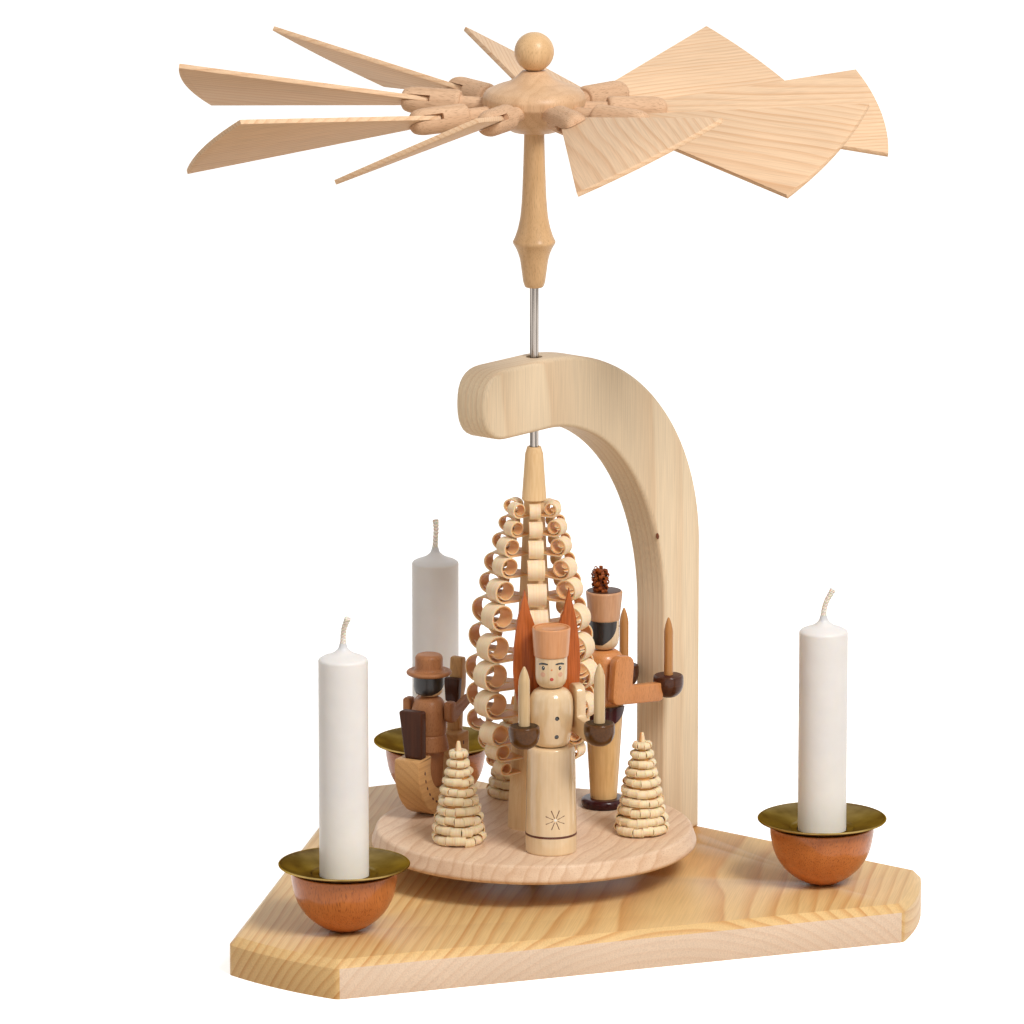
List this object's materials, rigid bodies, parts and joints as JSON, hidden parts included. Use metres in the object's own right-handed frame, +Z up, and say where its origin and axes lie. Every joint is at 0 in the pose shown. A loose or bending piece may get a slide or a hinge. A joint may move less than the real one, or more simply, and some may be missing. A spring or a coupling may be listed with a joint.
{
  "type": "christmas pyramid",
  "caption": "Table-top christmas pyramid: wooden arch on a three-cornered base, candles whose warm air turns a bladed rotor and a plate of figures round a curled tree.",
  "frame": {"origin": "on the spindle's axis, at the underside of the base board", "axes": "+Z up along the spindle, +Y towards the arch's leg, +X to the right seen from the single candle at -Y"},
  "size_m": [0.2108, 0.2135, 0.2566],
  "materials": {
    "pine": "clear matt varnish",
    "arch_pine": "clear matt varnish",
    "plate_beech": "clear matt varnish",
    "bowl_beech": "satin varnish",
    "hub_beech": "clear matt varnish",
    "handle_beech": "clear matt varnish",
    "dowel_beech": "raw",
    "blade_pine": "raw",
    "shaving": "raw",
    "angel_wood": "gloss varnish",
    "peach_wood": "satin stain",
    "wing_wood": "satin stain",
    "miner_wood": "satin varnish",
    "apron_leather": "smooth",
    "hat_wood": "satin stain",
    "rider_wood": "matt stain",
    "horse_wood": "raw",
    "dark_wood": "matt stain",
    "steel": "drawn wire",
    "brass": "polished",
    "bearing_glass": "clear",
    "wax": "smooth"
  },
  "bodies": {
    "stand": {"base_board": "pine", "arch_bow": "arch_pine", "arch_screw_1": "steel", "arch_screw_2": "steel", "bearing_cup": "bearing_glass", "guide_bush": "brass"},
    "carousel": {"spindle_rod": "steel", "turntable": "plate_beech", "curl_tree": "shaving", "small_tree_1": "shaving", "small_tree_2": "shaving", "small_tree_3": "shaving", "angel_body": "angel_wood", "angel_head": "angel_wood", "angel_crown": "peach_wood", "angel_wings": "wing_wood", "angel_arm_left": "angel_wood", "angel_arm_right": "angel_wood", "miner_body": "miner_wood", "miner_head": "angel_wood", "miner_hat": "hat_wood", "miner_apron": "apron_leather", "miner_arm_left": "miner_wood", "miner_arm_right": "miner_wood", "rocking_horse": "horse_wood", "horse_tail": "dark_wood", "rider_body": "rider_wood", "rider_head": "rider_wood", "rider_arm_left": "rider_wood", "rider_arm_right": "rider_wood"},
    "rotor": {"rotor_hub": "hub_beech", "finial_ball": "handle_beech", "spindle_handle": "handle_beech"},
    "blade_set_1": {"blade_holder_1": "dowel_beech", "blade_1": "blade_pine"},
    "blade_set_2": {"blade_holder_2": "dowel_beech", "blade_2": "blade_pine"},
    "blade_set_3": {"blade_holder_3": "dowel_beech", "blade_3": "blade_pine"},
    "blade_set_4": {"blade_holder_4": "dowel_beech", "blade_4": "blade_pine"},
    "blade_set_5": {"blade_holder_5": "dowel_beech", "blade_5": "blade_pine"},
    "blade_set_6": {"blade_holder_6": "dowel_beech", "blade_6": "blade_pine"},
    "blade_set_7": {"blade_holder_7": "dowel_beech", "blade_7": "blade_pine"},
    "blade_set_8": {"blade_holder_8": "dowel_beech", "blade_8": "blade_pine"},
    "blade_set_9": {"blade_holder_9": "dowel_beech", "blade_9": "blade_pine"},
    "holder_1": {"candle_bowl_1": "bowl_beech", "drip_pan_1": "brass"},
    "candle_piece_1": {"candle_1": "wax"},
    "holder_2": {"candle_bowl_2": "bowl_beech", "drip_pan_2": "brass"},
    "candle_piece_2": {"candle_2": "wax"},
    "holder_3": {"candle_bowl_3": "bowl_beech", "drip_pan_3": "brass"},
    "candle_piece_3": {"candle_3": "wax"}
  },
  "joints": [
    {"name": "carousel_spin", "type": "hinge", "parent": "stand", "child": "carousel", "pos_m": [0, 0, 0.011], "axis": [0, 0, 1], "continuous": true},
    {"name": "rotor_lift", "type": "slide", "parent": "carousel", "child": "rotor", "axis": [0, 0, 1], "range_m": [0, 0.06]},
    {"name": "blade_pitch_1", "type": "hinge", "parent": "rotor", "child": "blade_set_1", "pos_m": [0, 0, 0.2347], "axis": [0.6287, 0.7763, -0.0454], "range_deg": [-25, 25]},
    {"name": "blade_pitch_2", "type": "hinge", "parent": "rotor", "child": "blade_set_2", "pos_m": [0, 0, 0.2347], "axis": [0.0419, 0.9991, 0], "range_deg": [-25, 25]},
    {"name": "blade_pitch_3", "type": "hinge", "parent": "rotor", "child": "blade_set_3", "pos_m": [0, 0, 0.2347], "axis": [-0.6385, 0.7691, -0.0297], "range_deg": [-25, 25]},
    {"name": "blade_pitch_4", "type": "hinge", "parent": "rotor", "child": "blade_set_4", "pos_m": [0, 0, 0.2347], "axis": [-0.974, 0.2249, 0.0262], "range_deg": [-25, 25]},
    {"name": "blade_pitch_5", "type": "hinge", "parent": "rotor", "child": "blade_set_5", "pos_m": [0, 0, 0.2347], "axis": [-0.8773, -0.4783, 0.0384], "range_deg": [-25, 25]},
    {"name": "blade_pitch_6", "type": "hinge", "parent": "rotor", "child": "blade_set_6", "pos_m": [0, 0, 0.2347], "axis": [-0.4286, -0.9025, -0.0419], "range_deg": [-25, 25]},
    {"name": "blade_pitch_7", "type": "hinge", "parent": "rotor", "child": "blade_set_7", "pos_m": [0, 0, 0.2347], "axis": [0.3221, -0.9462, 0.0314], "range_deg": [-25, 25]},
    {"name": "blade_pitch_8", "type": "hinge", "parent": "rotor", "child": "blade_set_8", "pos_m": [0, 0, 0.2347], "axis": [0.8488, -0.5284, 0.0175], "range_deg": [-25, 25]},
    {"name": "blade_pitch_9", "type": "hinge", "parent": "rotor", "child": "blade_set_9", "pos_m": [0, 0, 0.2347], "axis": [0.9958, 0.0871, -0.0279], "range_deg": [-25, 25]},
    {"name": "holder_lift_1", "type": "slide", "parent": "stand", "child": "holder_1", "axis": [0, 0, 1], "range_m": [0, 0.02]},
    {"name": "candle_lift_1", "type": "slide", "parent": "holder_1", "child": "candle_piece_1", "axis": [0, 0, 1], "range_m": [0, 0.03]},
    {"name": "holder_lift_2", "type": "slide", "parent": "stand", "child": "holder_2", "axis": [0, 0, 1], "range_m": [0, 0.02]},
    {"name": "candle_lift_2", "type": "slide", "parent": "holder_2", "child": "candle_piece_2", "axis": [0, 0, 1], "range_m": [0, 0.03]},
    {"name": "holder_lift_3", "type": "slide", "parent": "stand", "child": "holder_3", "axis": [0, 0, 1], "range_m": [0, 0.02]},
    {"name": "candle_lift_3", "type": "slide", "parent": "holder_3", "child": "candle_piece_3", "axis": [0, 0, 1], "range_m": [0, 0.03]}
  ]
}
